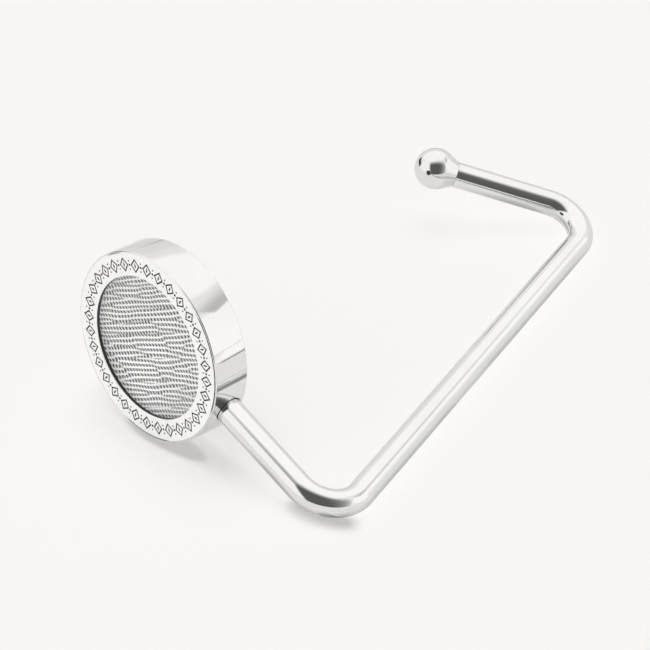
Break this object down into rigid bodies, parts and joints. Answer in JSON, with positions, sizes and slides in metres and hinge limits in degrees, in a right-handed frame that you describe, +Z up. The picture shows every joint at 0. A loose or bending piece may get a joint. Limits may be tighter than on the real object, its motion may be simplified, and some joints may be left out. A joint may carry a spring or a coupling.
{
  "type": "purse hook",
  "caption": "Table hook for a bag: a padded disc with a leather face, and a bent chromed rod with a ball tip that carries the strap.",
  "frame": {"origin": "centre of the bounding box's footprint, on the floor that the hook lies on", "axes": "+Y along the rod's long leg from the arm to the toe, +Z up with the hook lying on its side, +X from the disc towards the leg"},
  "size_m": [0.0628, 0.106, 0.0365],
  "materials": {
    "polished_chrome": "mirror polished chrome plate",
    "satin_chrome": "satin plated face",
    "silver_leather": "silver foil leather, embossed in fine beaded rows",
    "grey_board": "stiff pressed board",
    "black_rubber": "matt non-slip rubber",
    "clear_adhesive": "double-sided adhesive film",
    "bare_steel": "bare ground steel"
  },
  "bodies": {
    "root": {"disc_body": "polished_chrome", "face_ring": "satin_chrome", "leather_insert": "silver_leather", "insert_board": "grey_board", "grip_pad": "black_rubber", "pad_adhesive": "clear_adhesive", "hook_arm": "polished_chrome", "ball_tip": "polished_chrome", "locking_pin": "bare_steel"}
  },
  "joints": []
}
